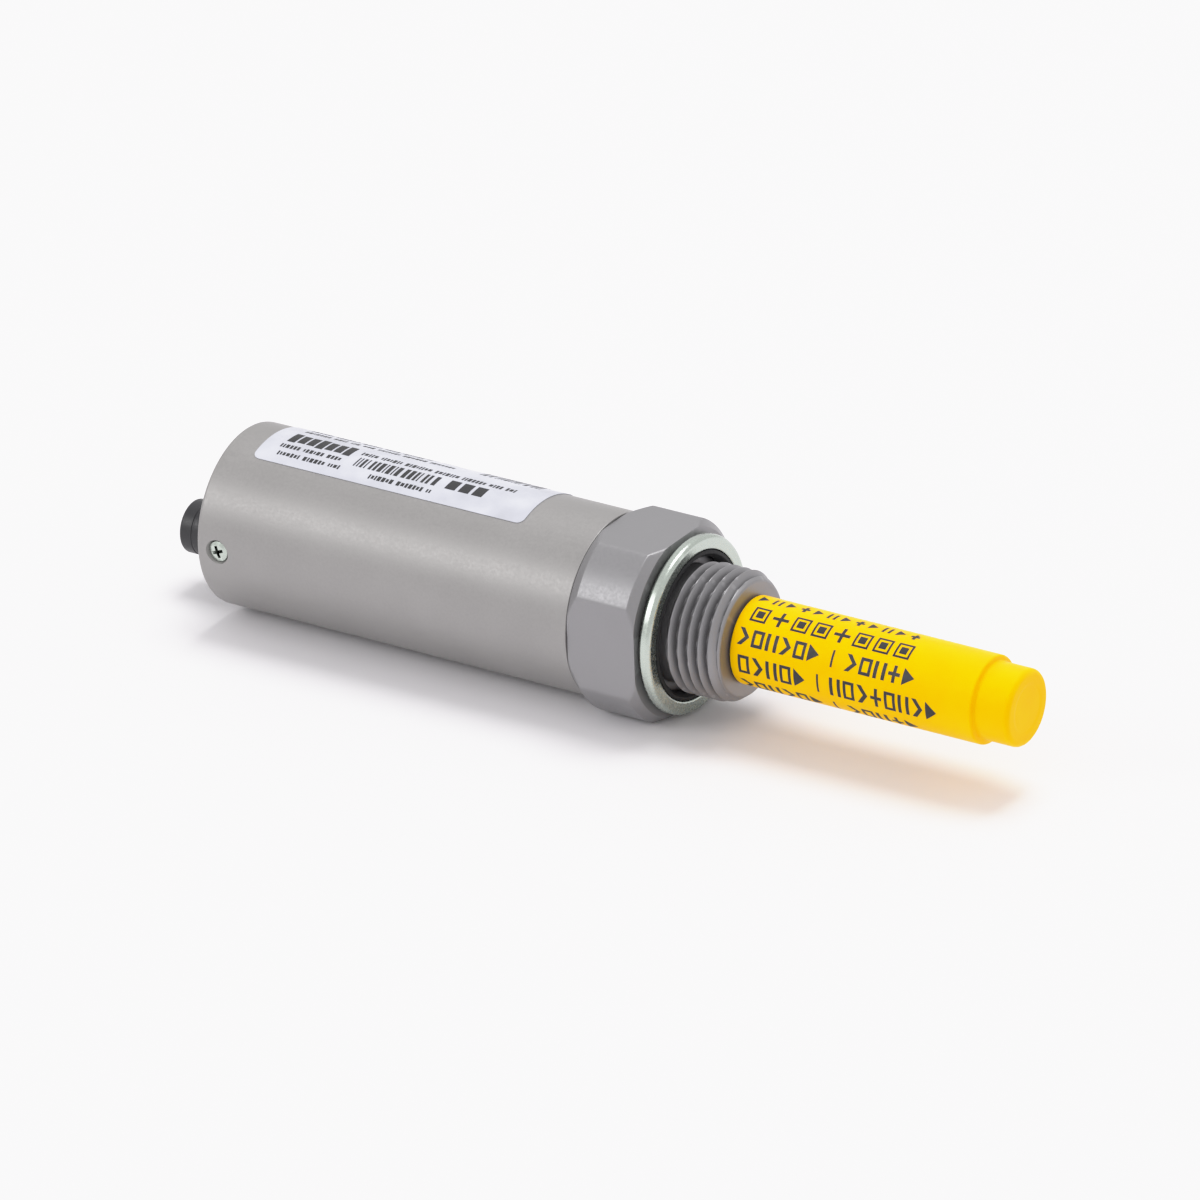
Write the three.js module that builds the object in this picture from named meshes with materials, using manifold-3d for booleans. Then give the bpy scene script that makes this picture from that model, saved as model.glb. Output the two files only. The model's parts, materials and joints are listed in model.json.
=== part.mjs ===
// Screw-in industrial probe transmitter, lying on its side.
// Millimetres. +X runs along the axis towards the probe tip, +Z is up, and the origin is under the
// middle of the overall length, on the surface that the housing rests on.
// Inside this file every piece is drawn on the instrument's own axis: x = 0 is the collar's sealing
// face, and one group then lifts and shifts the whole set into place.

import * as THREE from 'three';
import { mergeVertices } from 'three/addons/utils/BufferGeometryUtils.js';
import Module from 'manifold-3d';

const wasm = await Module();
wasm.setup();

// ---------------------------------------------------------------- driving dimensions

const SIDES = { large: 48, ring: 32, medium: 32, small: 20, tiny: 12, wireQuarters: 4 };

const SLEEVE = { outer: 14.8, inner: 13.2, rear: -81.5, front: -12.35, edge: 0.8 };
const COLLAR = { rear: -12.25, coneEnd: -10.3, land: 16.3, flat: 14.4, chamfer: 1.2, face: 15.1 };
const SPIGOT = { rear: -21, radius: 13.05, groove: [-18.6, -16.4], grooveRadius: 11.9 };
const THREAD = { crest: 10.48, root: 9.32, pitch: 1.814, first: 3.6, crests: 4, end: 12.2, endRadius: 9.2 };
const BORE = { probe: 6.12, wires: 4.2, shoulder: -8 };

const WASHER = { rear: 0.1, front: 2.6, outer: 14.3, inner: 12, edge: 0.35 };
const LIP = { outer: 11.95, inner: 10.75, bulge: 0.05 };

const PROBE = { rear: -7.9, shoulder: 14.5, front: 20, outer: 6, neck: 5.2, inner: 4.4 };
const FILTER = { rear: 14.6, front: 53, outer: 6, skirt: 5.3, inner: 4.6, floor: 50.8, skirtEnd: 20.6 };
const CAP = { rear: 12.6, front: 61.5, step: 55.6, outer: 7.03, tip: 6.15, bore: 6.18, tipBore: 5.1, floor: 60.3 };

const END_CAP = { rear: -81, front: -72.4, radius: 13.05, chamfer: 0.4, groove: [-75.9, -73.8], grooveRadius: 11.9 };
const ORING = { centre: 12.52, thickness: 1.04 };
const SCREW = { x: -77.6, head: 1.7, shank: 1.1, cone: 1.2, tip: 8.9, hole: 1.3, recess: 0.9 };

const PLUG = { drop: 4.8, rim: -92.5, barrel: 4.4, socket: 3.3, socketFloor: -86.6, shank: 3.85, shankEnd: -69.6 };
const PLUG_FLANGE = { rear: -82.4, front: -81.3, radius: 5.3 };
const PLUG_HOLE = 4;
const PLUG_NUT = { rear: -72.2, front: -70, acrossFlats: 10 };
const PIN = { radius: 0.5, hole: 0.6, tip: -91.2, tail: -67.6, circle: 1.75, angles: [40, 140, 215, 325] };

const LABEL = { from: -76, to: -25.4, centreAngle: 96, width: 16, gap: 0.04, thickness: 0.12 };

const BOARD = { from: -62.6, to: -25.2, halfWidth: 11.4, top: -0.8, thickness: 1.6 };
const CARRIER = { disc: [-24.6, -21.2], discRadius: 12.8, wireHole: 3.4, bar: [-60, -24], barHalf: 6, barZ: [-8.6, -6.4] };
const BOARD_SCREWS = { x: [-56, -31], head: 1.9, headHeight: 1.3, shank: 0.85, depth: 4.6 };
const WIRE = 0.55;

// Overall length, and the shifts that put the origin under the middle of it.
const AXIS_HEIGHT = SLEEVE.outer * Math.cos(Math.PI / SIDES.large);
const MIDDLE_X = (PLUG.rim + CAP.front) / 2;

const FINISH = {
  blastedMetal: [0xa5a4a0, 0.45, 0.9],
  turnedSteel: [0x9a9a9d, 0.35, 0.95],
  zincPlate: [0xc9cdca, 0.25, 1],
  sinteredSteel: [0x8f8b84, 0.7, 0.8],
  blackRubber: [0x161618, 0.7, 0],
  yellowPlastic: [0xffd300, 0.4, 0],
  blackPlastic: [0x222326, 0.5, 0],
  whitePlastic: [0xe9e9e4, 0.5, 0],
  labelFilm: [0xeef0f8, 0.5, 0],
  goldPlate: [0xd2a24a, 0.25, 1],
  boardGreen: [0x1f5a36, 0.5, 0],
  chipBlack: [0x1b1b1d, 0.6, 0],
  silverCan: [0xc6c6c8, 0.3, 1],
  ceramic: [0xf0ece2, 0.6, 0],
};
const WIRE_COLOURS = [0x7a4a2a, 0xe8e8e8, 0x2a50b0, 0x1a1a1a];

// ---------------------------------------------------------------- solids

// A closed solid from any three.js geometry: shared corners merged, collapsed triangles dropped,
// and every face turned to point out.
function solid(geometry) {
  geometry.deleteAttribute('normal');
  geometry.deleteAttribute('uv');
  const merged = mergeVertices(geometry, 1e-4);
  const position = merged.getAttribute('position');
  const corner = (i) => new THREE.Vector3().fromBufferAttribute(position, i);
  const faces = [];
  let volume = 0;
  for (let i = 0; i < merged.index.count; i += 3) {
    const face = [0, 1, 2].map((k) => merged.index.getX(i + k));
    if (new Set(face).size < 3) continue;
    faces.push(face);
    const [a, b, c] = face.map(corner);
    volume += a.dot(b.cross(c));
  }
  const index = faces.flatMap((face) => (volume < 0 ? face.slice().reverse() : face));
  const closed = new THREE.BufferGeometry();
  closed.setAttribute('position', position);
  closed.setIndex(index);
  return closed;
}

function toManifold(geometry) {
  const closed = solid(geometry);
  const vertProperties = new Float32Array(closed.getAttribute('position').array);
  const triVerts = new Uint32Array(closed.index.array);
  return new wasm.Manifold(new wasm.Mesh({ numProp: 3, vertProperties, triVerts }));
}

function fromManifold(manifold) {
  const mesh = manifold.getMesh();
  const geometry = new THREE.BufferGeometry();
  geometry.setAttribute('position', new THREE.BufferAttribute(mesh.vertProperties, 3));
  geometry.setIndex(new THREE.BufferAttribute(mesh.triVerts, 1));
  return geometry;
}

function cut(body, tools) {
  return fromManifold(tools.reduce((rest, tool) => rest.subtract(toManifold(tool)), toManifold(body)));
}

function join(pieces) {
  return fromManifold(pieces.slice(1).reduce((sum, piece) => sum.add(toManifold(piece)), toManifold(pieces[0])));
}

// Turns a profile of [x, radius] points about the X axis. A profile that does not start and end on
// the axis is closed on itself. Half a step of turn puts a flat side underneath.
function revolve(profile, sides) {
  const closed = profile[0][1] === 0 ? profile : [...profile, profile[0]];
  const points = closed.map(([x, radius]) => new THREE.Vector2(radius, x));
  return new THREE.LatheGeometry(points, sides, Math.PI / sides).rotateZ(-Math.PI / 2);
}

function rod(from, to, radius, sides) {
  return revolve([[from, 0], [from, radius], [to, radius], [to, 0]], sides);
}

function block(x, y, z) {
  const size = [x, y, z].map(([low, high]) => high - low);
  const middle = [x, y, z].map(([low, high]) => (low + high) / 2);
  return new THREE.BoxGeometry(...size).translate(...middle);
}

// A round edge between [x, radius] corners: centre, radius of the round, and its start and end turn.
function round(x, radius, size, fromDegrees, toDegrees, steps) {
  return Array.from({ length: steps + 1 }, (_, i) => {
    const turn = THREE.MathUtils.degToRad(fromDegrees + ((toDegrees - fromDegrees) * i) / steps);
    return [x + size * Math.cos(turn), radius + size * Math.sin(turn)];
  });
}

function oRing(x) {
  return revolve(round(x, ORING.centre, ORING.thickness / 2, 0, 300, 5), SIDES.ring);
}

// A round wire through a list of points.
function wire(points, radius, steps) {
  const shape = new THREE.Shape();
  shape.absarc(0, 0, radius, 0, Math.PI * 2);
  const path = new THREE.CatmullRomCurve3(points.map((point) => new THREE.Vector3(...point)));
  return new THREE.ExtrudeGeometry(shape, { steps, extrudePath: path, curveSegments: SIDES.wireQuarters });
}

// ---------------------------------------------------------------- housing

function housingSleeve() {
  const { outer, inner, rear, front, edge } = SLEEVE;
  const tube = revolve(
    [
      [rear + 0.3, inner],
      [rear, inner + 0.3],
      ...round(rear + edge, outer - edge, edge, 180, 90, 3),
      [front, outer],
      [front, inner],
    ],
    SIDES.large,
  );
  return cut(tube, [countersink()]);
}

// The screw's seat in the sleeve, a cone with a hole under it, pointing towards -Y.
function countersink() {
  const top = SLEEVE.outer + 1;
  const flare = SCREW.head + 0.25 + 1;
  const seat = revolve(
    [[-top, 0], [-top, flare], [-(SLEEVE.outer - SCREW.cone), SCREW.hole + 0.1], [-11, SCREW.hole + 0.1], [-11, 0]],
    SIDES.small,
  );
  return seat.rotateZ(Math.PI / 2).translate(SCREW.x, 0, 0);
}

function housingLabel() {
  const inner = SLEEVE.outer + LABEL.gap;
  const outer = inner + LABEL.thickness;
  const half = LABEL.width / 2 / outer;
  const centre = THREE.MathUtils.degToRad(LABEL.centreAngle);
  const steps = 8;
  const arc = (radius, sign) =>
    Array.from({ length: steps + 1 }, (_, i) => {
      const turn = centre + sign * half * ((2 * i) / steps - 1);
      return new THREE.Vector2(-radius * Math.cos(turn), radius * Math.sin(turn));
    });
  const shape = new THREE.Shape([...arc(outer, 1), ...arc(inner, -1)]);
  const sheet = new THREE.ExtrudeGeometry(shape, { depth: LABEL.to - LABEL.from, bevelEnabled: false });
  // The outline is drawn as (y, z) and extruded along x.
  sheet.applyMatrix4(new THREE.Matrix4().set(0, 0, 1, LABEL.from, 1, 0, 0, 0, 0, 1, 0, 0, 0, 0, 0, 1));
  return sheet;
}

function rearEndCap() {
  const { rear, front, radius, chamfer, groove, grooveRadius } = END_CAP;
  const plug = revolve(
    [
      [rear, 0],
      [rear, radius - chamfer],
      [rear + chamfer, radius],
      [groove[0], radius],
      [groove[0], grooveRadius],
      [groove[1], grooveRadius],
      [groove[1], radius],
      [front, radius],
      [front, 0],
    ],
    SIDES.large,
  );
  const plugHole = rod(rear - 1, front + 1, PLUG_HOLE, SIDES.medium).translate(0, 0, -PLUG.drop);
  const screwHole = rod(-radius - 1, -SCREW.tip + 0.6, SCREW.hole, SIDES.tiny).rotateZ(Math.PI / 2);
  return cut(plug, [plugHole, screwHole.translate(SCREW.x, 0, 0)]);
}

// A countersunk cross-recess screw that stands radially in the sleeve, head towards -Y.
function endCapScrew() {
  const top = SLEEVE.outer - 0.15;
  const body = revolve(
    [[-top, 0], [-top, SCREW.head], [-(top - SCREW.cone + 0.2), SCREW.shank], [-SCREW.tip, SCREW.shank], [-SCREW.tip, 0]],
    SIDES.small,
  );
  const deep = [-top - 1, -top + SCREW.recess];
  const arm = SCREW.head * 0.62;
  const slot = 0.22;
  const recess = [block(deep, [-arm, arm], [-slot, slot]), block(deep, [-slot, slot], [-arm, arm])];
  return cut(body, recess).rotateZ(Math.PI / 2).translate(SCREW.x, 0, 0);
}

// ---------------------------------------------------------------- plug connector

function plugShell() {
  const body = revolve(
    [
      [PLUG.rim + 0.4, PLUG.socket],
      [PLUG.rim, PLUG.socket + 0.4],
      [PLUG.rim, PLUG.barrel - 0.4],
      [PLUG.rim + 0.4, PLUG.barrel],
      [PLUG_FLANGE.rear, PLUG.barrel],
      [PLUG_FLANGE.rear, PLUG_FLANGE.radius],
      [PLUG_FLANGE.front, PLUG_FLANGE.radius],
      [PLUG_FLANGE.front, PLUG.shank],
      [PLUG.shankEnd, PLUG.shank],
      [PLUG.shankEnd, PLUG.socket],
    ],
    SIDES.medium,
  );
  return body.translate(0, 0, -PLUG.drop);
}

function pinPlaces() {
  return PIN.angles.map((degrees) => {
    const turn = THREE.MathUtils.degToRad(degrees);
    return [PIN.circle * Math.cos(turn), -PLUG.drop + PIN.circle * Math.sin(turn)];
  });
}

function plugInsert() {
  const core = rod(PLUG.socketFloor, PLUG.shankEnd - 0.5, PLUG.socket - 0.1, SIDES.medium);
  const holes = pinPlaces().map(([y, z]) => rod(PLUG.rim, PLUG.shankEnd + 1, PIN.hole, SIDES.tiny).translate(0, y, z));
  return cut(core.translate(0, 0, -PLUG.drop), holes);
}

function contactPin([y, z]) {
  const { tip, tail, radius } = PIN;
  const profile = [[tip, 0], [tip, radius * 0.5], [tip + 0.5, radius], [tail, radius], [tail, 0]];
  return revolve(profile, SIDES.tiny).translate(0, y, z);
}

function plugNut() {
  const outline = new THREE.CylinderGeometry(1, 1, PLUG_NUT.front - PLUG_NUT.rear, 6);
  const corner = PLUG_NUT.acrossFlats / 2 / Math.cos(Math.PI / 6);
  const hex = outline.scale(corner, 1, corner).rotateZ(-Math.PI / 2);
  hex.translate((PLUG_NUT.front + PLUG_NUT.rear) / 2, 0, 0);
  const hole = rod(PLUG_NUT.rear - 1, PLUG_NUT.front + 1, PLUG.shank + 0.08, SIDES.medium);
  return cut(hex, [hole]).translate(0, 0, -PLUG.drop);
}

// ---------------------------------------------------------------- threaded fitting and washer

function threadProfile() {
  const { crest, root, pitch, first, crests } = THREAD;
  const points = [];
  for (let i = 0; i < crests; i += 1) {
    const x = first + i * pitch;
    points.push([x - pitch * 0.42, root], [x - pitch * 0.1, crest], [x + pitch * 0.1, crest]);
    points.push([x + pitch * 0.42, root]);
  }
  return points;
}

function fittingBody() {
  const { rear, coneEnd, land, chamfer, face, flat } = COLLAR;
  const lastCrest = THREAD.first + THREAD.crests * THREAD.pitch;
  const turned = revolve(
    [
      [SPIGOT.rear, BORE.wires],
      [SPIGOT.rear, SPIGOT.radius],
      [SPIGOT.groove[0], SPIGOT.radius],
      [SPIGOT.groove[0], SPIGOT.grooveRadius],
      [SPIGOT.groove[1], SPIGOT.grooveRadius],
      [SPIGOT.groove[1], SPIGOT.radius],
      [rear, SPIGOT.radius],
      [rear, SLEEVE.outer],
      [coneEnd, land],
      [-chamfer, land],
      [0, face],
      [0, THREAD.root],
      ...threadProfile(),
      [lastCrest - 0.3, THREAD.crest - 0.1],
      [THREAD.end, THREAD.endRadius],
      [THREAD.end, BORE.probe],
      [BORE.shoulder, BORE.probe],
      [BORE.shoulder, BORE.wires],
    ],
    SIDES.large,
  );
  const reach = land + 2;
  const span = [rear - 0.2, 0.5];
  const flats = [
    block(span, [-reach, reach], [flat, reach]),
    block(span, [-reach, reach], [-reach, -flat]),
    block(span, [flat, reach], [-reach, reach]),
    block(span, [-reach, -flat], [-reach, reach]),
  ];
  return cut(turned, flats);
}

function washerRing() {
  const { rear, front, outer, inner, edge } = WASHER;
  return revolve(
    [[rear, inner], [rear, outer - edge], [rear + edge, outer], [front - edge, outer], [front, outer - edge], [front, inner]],
    SIDES.large,
  );
}

function washerLip() {
  const { rear, front } = WASHER;
  const { outer, inner, bulge } = LIP;
  const middle = (rear + front) / 2;
  return revolve(
    [[rear + 0.1, outer], [rear - bulge, inner + 0.6], [middle - 0.5, inner], [middle + 0.5, inner],
      [front + bulge, inner + 0.6], [front - 0.1, outer]],
    SIDES.large,
  );
}

// ---------------------------------------------------------------- probe

function probeTube() {
  const { rear, shoulder, front, outer, neck, inner } = PROBE;
  const profile = [[rear, inner], [rear, outer], [shoulder, outer], [shoulder, neck], [front, neck], [front, inner]];
  return revolve(profile, SIDES.medium);
}

function sinteredFilter() {
  const { rear, front, outer, skirt, inner, floor, skirtEnd } = FILTER;
  return revolve(
    [
      [floor, 0],
      [floor, inner],
      [skirtEnd, inner],
      [skirtEnd, skirt],
      [rear, skirt],
      [rear, outer],
      ...round(front - 1.2, outer - 1.2, 1.2, 90, 0, 3),
      [front, 0],
    ],
    SIDES.medium,
  );
}

function protectiveCap() {
  const { rear, front, step, outer, tip, bore, tipBore, floor } = CAP;
  return revolve(
    [
      [floor, 0],
      [floor, tipBore],
      [step - 1.2, tipBore],
      [step - 1.8, bore],
      [rear, bore],
      [rear, outer],
      [step - 0.3, outer],
      [step, outer - 0.3],
      [step, tip],
      ...round(front - 0.7, tip - 0.7, 0.7, 90, 0, 3),
      [front, 0],
    ],
    SIDES.medium,
  );
}

function sensorHolder() {
  const socket = rod(14, 20.4, PROBE.inner - 0.1, SIDES.small);
  const stub = rod(20.2, 23, 3, SIDES.small);
  return join([socket, stub]);
}

// Each sensor is a thin plate on two leads, side by side across the axis.
const SENSORS = [
  { name: 'moisture_sensor', y: -1.1, plate: { from: 25.6, to: 31.6, half: 0.95 }, finish: 'ceramic' },
  { name: 'temperature_sensor', y: 1.3, plate: { from: 25.6, to: 29, half: 0.6 }, finish: 'whitePlastic' },
];

function sensorPlate({ y, plate }) {
  return block([plate.from, plate.to], [y - plate.half, y + plate.half], [-0.3, 0.3]);
}

function sensorLead({ y, plate }, side) {
  const centre = y + side * plate.half * 0.55;
  return block([23.05, plate.from - 0.05], [centre - 0.12, centre + 0.12], [-0.12, 0.12]);
}

// ---------------------------------------------------------------- electronics

function boardCarrier() {
  const { disc, discRadius, wireHole, bar, barHalf, barZ } = CARRIER;
  const boardUnder = BOARD.top - BOARD.thickness;
  const posts = BOARD_SCREWS.x.map((x) => rod(barZ[1] - 0.5, boardUnder - 0.1, 2.4, SIDES.tiny)
    .rotateY(-Math.PI / 2).translate(x, 0, 0));
  const body = join([
    rod(disc[0], disc[1], discRadius, SIDES.large),
    block(bar, [-barHalf, barHalf], barZ),
    ...posts,
  ]);
  const pilots = BOARD_SCREWS.x.map((x) => rod(barZ[0] + 0.8, boardUnder + 1, 0.95, SIDES.tiny)
    .rotateY(-Math.PI / 2).translate(x, 0, 0));
  return cut(body, [rod(disc[0] - 1, disc[1] + 1, wireHole, SIDES.small).translate(0, 0, 1.6), ...pilots]);
}

function mainBoard() {
  const plate = block([BOARD.from, BOARD.to], [-BOARD.halfWidth, BOARD.halfWidth], [BOARD.top - BOARD.thickness, BOARD.top]);
  const holes = BOARD_SCREWS.x.map((x) => rod(-6, 6, 1.1, SIDES.tiny).rotateY(-Math.PI / 2).translate(x, 0, 0));
  return cut(plate, holes);
}

function boardScrew(x) {
  const { head, headHeight, shank, depth } = BOARD_SCREWS;
  const seat = BOARD.top + 0.05;
  const profile = [[seat - depth, 0], [seat - depth, shank], [seat, shank], [seat, head],
    [seat + headHeight * 0.6, head], [seat + headHeight, head * 0.6], [seat + headHeight, 0]];
  return revolve(profile, SIDES.tiny).rotateY(-Math.PI / 2).translate(x, 0, 0);
}

// Boxes and cans that stand on the board: x and y of the middle, and length, width and height.
const COMPONENTS = [
  { name: 'microcontroller', at: [-44, 0], size: [7, 7, 1.1], finish: 'chipBlack' },
  { name: 'converter_chip', at: [-36, 5.6], size: [5, 4, 1.3], finish: 'chipBlack' },
  { name: 'voltage_regulator', at: [-53, -7], size: [6.4, 3.5, 1.6], finish: 'chipBlack' },
  { name: 'board_plug', at: [-60.2, 0], size: [3, 10.4, 5], finish: 'whitePlastic' },
];
const CANS = [
  { name: 'input_capacitor', at: [-53.4, 6.4], radius: 2.6, height: 5.2 },
  { name: 'output_capacitor', at: [-37, -6.2], radius: 2, height: 4.6 },
];

function component({ at: [x, y], size: [length, width, height] }) {
  const foot = BOARD.top + 0.05;
  return block([x - length / 2, x + length / 2], [y - width / 2, y + width / 2], [foot, foot + height]);
}

function can({ at: [x, y], radius, height }) {
  const foot = BOARD.top + 0.05;
  const profile = [[foot, 0], [foot, radius], [foot + height - 0.4, radius], [foot + height, radius - 0.4], [foot + height, 0]];
  return revolve(profile, SIDES.small).rotateY(-Math.PI / 2).translate(x, y, 0);
}

// From a contact pin's tail up to its place on the board plug. The lower pins' wires go outside.
function plugWire([y, z]) {
  const [plugX] = COMPONENTS.find((item) => item.name === 'board_plug').at;
  const top = BOARD.top + 0.05 + 5 + 0.3 + WIRE;
  const targetY = Math.sign(y) * (z > -PLUG.drop ? 1.2 : 3.6);
  const tail = PIN.tail + 0.3;
  return wire(
    [
      [tail, y, z],
      [tail + 1.1, y + (targetY - y) * 0.4, z + 0.3],
      [tail + 2.2, targetY, (z + top) / 2],
      [tail + 3.8, targetY, top],
      [plugX, targetY, top],
    ],
    WIRE,
    12,
  );
}

function probeCable() {
  const z = BOARD.top + 0.1 + 1.5;
  return wire([[-31.5 + 3, 0, z], [-24, 0, z + 0.4], [-14, 0, 0.6], [0, 0, 0], [13.6, 0, 0]], 1.3, 16);
}

// ---------------------------------------------------------------- assembly

const instrument = new THREE.Group();
instrument.position.set(-MIDDLE_X, 0, AXIS_HEIGHT);

function add(name, geometry, finish, colour) {
  const [base, roughness, metalness] = FINISH[finish];
  const material = new THREE.MeshStandardMaterial({ color: colour ?? base, roughness, metalness });
  const mesh = new THREE.Mesh(solid(geometry), material);
  mesh.name = name;
  instrument.add(mesh);
}

add('housing_sleeve', housingSleeve(), 'blastedMetal');
add('housing_label', housingLabel(), 'labelFilm');
add('rear_end_cap', rearEndCap(), 'blackPlastic');
add('end_cap_seal', oRing((END_CAP.groove[0] + END_CAP.groove[1]) / 2), 'blackRubber');
add('end_cap_screw', endCapScrew(), 'zincPlate');

add('plug_shell', plugShell(), 'blackPlastic');
add('plug_insert', plugInsert(), 'blackPlastic');
add('plug_nut', plugNut(), 'zincPlate');
pinPlaces().forEach((place, i) => {
  add(`contact_pin_${i + 1}`, contactPin(place), 'goldPlate');
  add(`plug_wire_${i + 1}`, plugWire(place, i), 'blackPlastic', WIRE_COLOURS[i]);
});

add('threaded_fitting', fittingBody(), 'turnedSteel');
add('fitting_seal', oRing((SPIGOT.groove[0] + SPIGOT.groove[1]) / 2), 'blackRubber');
add('seal_washer_ring', washerRing(), 'zincPlate');
add('seal_washer_lip', washerLip(), 'blackRubber');

add('probe_tube', probeTube(), 'turnedSteel');
add('sintered_filter', sinteredFilter(), 'sinteredSteel');
add('sensor_holder', sensorHolder(), 'whitePlastic');
for (const sensor of SENSORS) {
  add(sensor.name, sensorPlate(sensor), sensor.finish);
  add(`${sensor.name}_lead_a`, sensorLead(sensor, -1), 'goldPlate');
  add(`${sensor.name}_lead_b`, sensorLead(sensor, 1), 'goldPlate');
}
add('protective_cap', protectiveCap(), 'yellowPlastic');

add('board_carrier', boardCarrier(), 'blackPlastic');
add('main_board', mainBoard(), 'boardGreen');
BOARD_SCREWS.x.forEach((x, i) => add(`board_screw_${i + 1}`, boardScrew(x), 'zincPlate'));
for (const item of COMPONENTS) add(item.name, component(item), item.finish);
for (const item of CANS) add(item.name, can(item), 'silverCan');
add('probe_cable', probeCable(), 'blackPlastic', 0x3a3a40);

export default instrument;
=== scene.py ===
"""Looks of the screw-in probe transmitter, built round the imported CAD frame.

Meshes are drawn in millimetres on the instrument's own axis, where x = 0 is the collar's sealing face,
y and z are measured from the axis, and an angle of 0 degrees faces -Y and 90 degrees faces up.
place() then puts each one in the row frame, in metres.
"""

import json
import math
import random
from contextlib import contextmanager

import bmesh
import bpy
import numpy as np
from mathutils import Matrix, Vector


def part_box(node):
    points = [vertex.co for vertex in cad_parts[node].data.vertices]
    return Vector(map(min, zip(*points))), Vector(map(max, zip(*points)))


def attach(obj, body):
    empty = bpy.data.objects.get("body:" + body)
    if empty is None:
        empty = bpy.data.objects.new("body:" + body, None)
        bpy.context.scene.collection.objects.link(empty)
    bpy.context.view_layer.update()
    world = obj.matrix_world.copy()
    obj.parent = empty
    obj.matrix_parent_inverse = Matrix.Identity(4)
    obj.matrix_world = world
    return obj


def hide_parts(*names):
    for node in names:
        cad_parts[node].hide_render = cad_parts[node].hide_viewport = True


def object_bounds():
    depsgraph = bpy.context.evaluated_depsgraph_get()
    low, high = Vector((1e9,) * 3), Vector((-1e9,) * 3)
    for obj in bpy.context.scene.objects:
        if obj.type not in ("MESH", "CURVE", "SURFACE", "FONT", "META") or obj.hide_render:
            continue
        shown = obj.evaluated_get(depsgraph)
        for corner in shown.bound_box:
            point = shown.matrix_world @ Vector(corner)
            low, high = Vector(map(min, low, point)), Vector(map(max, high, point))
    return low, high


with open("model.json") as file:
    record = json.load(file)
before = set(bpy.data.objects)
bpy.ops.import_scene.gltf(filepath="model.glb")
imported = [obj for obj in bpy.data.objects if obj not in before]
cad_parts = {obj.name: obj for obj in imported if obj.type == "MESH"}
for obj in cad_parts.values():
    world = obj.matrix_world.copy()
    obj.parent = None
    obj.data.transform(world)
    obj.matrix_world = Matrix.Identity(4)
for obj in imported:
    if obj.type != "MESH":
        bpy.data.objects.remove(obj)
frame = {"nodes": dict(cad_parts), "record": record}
cad_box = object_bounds()

MM = 0.001
THREAD_END = 12.2
FITTING_LOW, FITTING_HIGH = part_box("threaded_fitting")
SEAT_X = FITTING_HIGH.x - THREAD_END * MM
AXIS_Z = (FITTING_LOW.z + FITTING_HIGH.z) / 2

SLEEVE_R = AXIS_Z / MM
SLEEVE_BORE, SLEEVE_REAR, SLEEVE_FRONT = 13.2, -81.5, -12.35
SPIGOT_R, GROOVE_R = 13.05, 11.9
END_CAP_REAR, END_CAP_FRONT = -81.0, -72.4
SCREW_X, SCREW_HEAD_R, SCREW_SHANK_R, SCREW_TOP = -77.6, 1.7, 1.1, 14.65
LABEL_ANGLE, LABEL_FROM, LABEL_TO, LABEL_HALF = 96, -76, -25.4, 8.0
LABEL_LIFT, LABEL_THICKNESS = 0.02, 0.1
INK_THICKNESS = 0.012

PLUG_DROP, PLUG_HOLE_R = 4.8, 4
PLUG_RIM, PLUG_BARREL_R, PLUG_SOCKET_R, PLUG_SHANK_R, PLUG_FLANGE_R = -92.5, 4.4, 3.3, 3.85, 5.3
SOCKET_FLOOR = -86.6
PIN_R, PIN_CIRCLE, PIN_ANGLES = 0.5, 1.75, (40, 140, 215, 325)

FLAT = (FITTING_HIGH.z - FITTING_LOW.z) / 2 / MM
LAND_R, COLLAR_REAR = 16.3, -12.25
THREAD_START, UNDERCUT_R = 2.5, 9.3
CREST_R, ROOT_R, PITCH, FIRST_CREST = 10.48, 9.32, 1.814, 3.6
FITTING_BORE, WIRE_BORE = 6.12, 4.2

PROBE_R, NECK_START, NECK_END, NECK_ROOT_R = 6.0, 14.5, 20, 4.85
FILTER_END, CAP_END = 53, 61.5
CAP_R, CAP_TIP_R, CAP_STEP, CAP_BORE, CAP_TIP_BORE = 7.03, 6.15, 55.6, 6.18, 5.1

BODY_OF = {n: b for b, nodes in frame["record"]["behaviour"]["bodies"].items() for n in nodes}
SLOT_OF = {s["node"]: s["material_slot"] for s in frame["record"]["subparts"]}


def span(node):
    """A node's lowest and highest corner in millimetres, from the seat and the axis."""
    shift = Vector((SEAT_X, 0, AXIS_Z))
    low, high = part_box(node)
    return (low - shift) / MM, (high - shift) / MM


# ---------------------------------------------------------------- materials

def shader(name, colour, roughness, metallic=0.0):
    """A new material, with its node tree and its Principled node."""
    material = bpy.data.materials.new(name)
    material.use_nodes = True
    tree = material.node_tree
    principled = tree.nodes["Principled BSDF"]
    principled.inputs["Base Color"].default_value = (*colour, 1)
    principled.inputs["Roughness"].default_value = roughness
    principled.inputs["Metallic"].default_value = metallic
    return material, tree, principled


def noise(tree, scale, detail=3.0, stretch=(1, 1, 1)):
    """Noise in the object's own coordinates. The scale is in features per metre."""
    coordinates = tree.nodes.new("ShaderNodeTexCoord")
    mapping = tree.nodes.new("ShaderNodeMapping")
    mapping.inputs["Scale"].default_value = stretch
    texture = tree.nodes.new("ShaderNodeTexNoise")
    texture.inputs["Scale"].default_value = scale
    texture.inputs["Detail"].default_value = detail
    tree.links.new(coordinates.outputs["Object"], mapping.inputs["Vector"])
    tree.links.new(mapping.outputs["Vector"], texture.inputs["Vector"])
    return texture.outputs["Fac"]


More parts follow.
